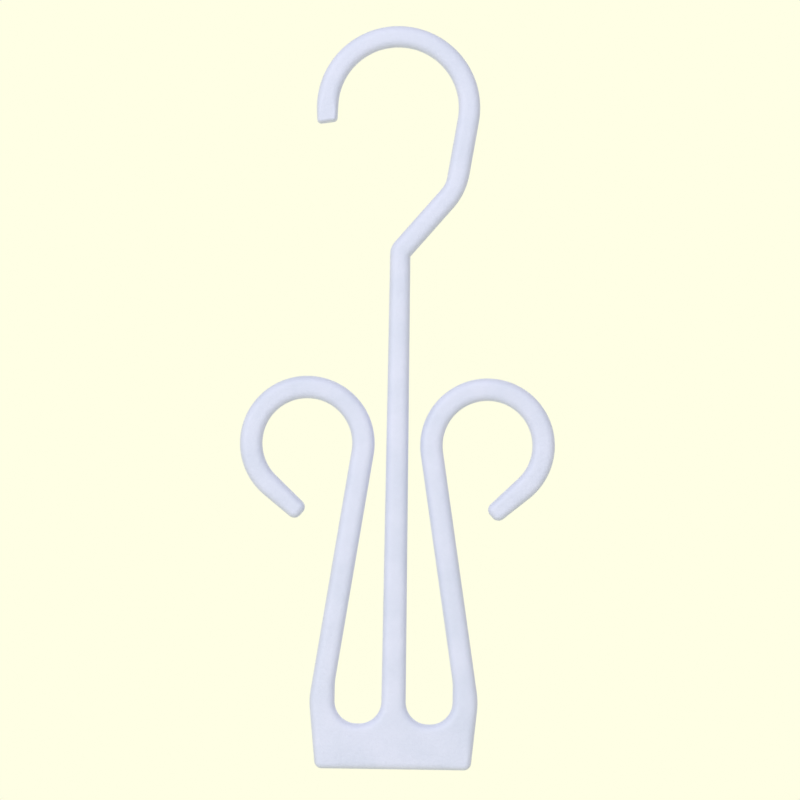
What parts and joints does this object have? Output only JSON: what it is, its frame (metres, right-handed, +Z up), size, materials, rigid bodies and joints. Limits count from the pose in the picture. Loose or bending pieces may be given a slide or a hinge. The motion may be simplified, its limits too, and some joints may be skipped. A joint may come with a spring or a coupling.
{
  "type": "shoe hook",
  "caption": "Flat moulded plastic hanger for displaying a pair of shoes: a rail hook on a cranked neck, a tapered stem, a curled hook on each side and a notched plate at the foot.",
  "frame": {"origin": "centre of the rail hook's arc, on the axis of the rail that it hangs from, halfway through the thickness", "axes": "+Z up along the stem, +X to the right as the front is seen, -Y out of the front face"},
  "size_m": [0.0763, 0.0048, 0.18],
  "materials": {
    "moulding": "satin, as moulded"
  },
  "bodies": {
    "root": {"shoe_hook": "moulding"}
  },
  "joints": []
}
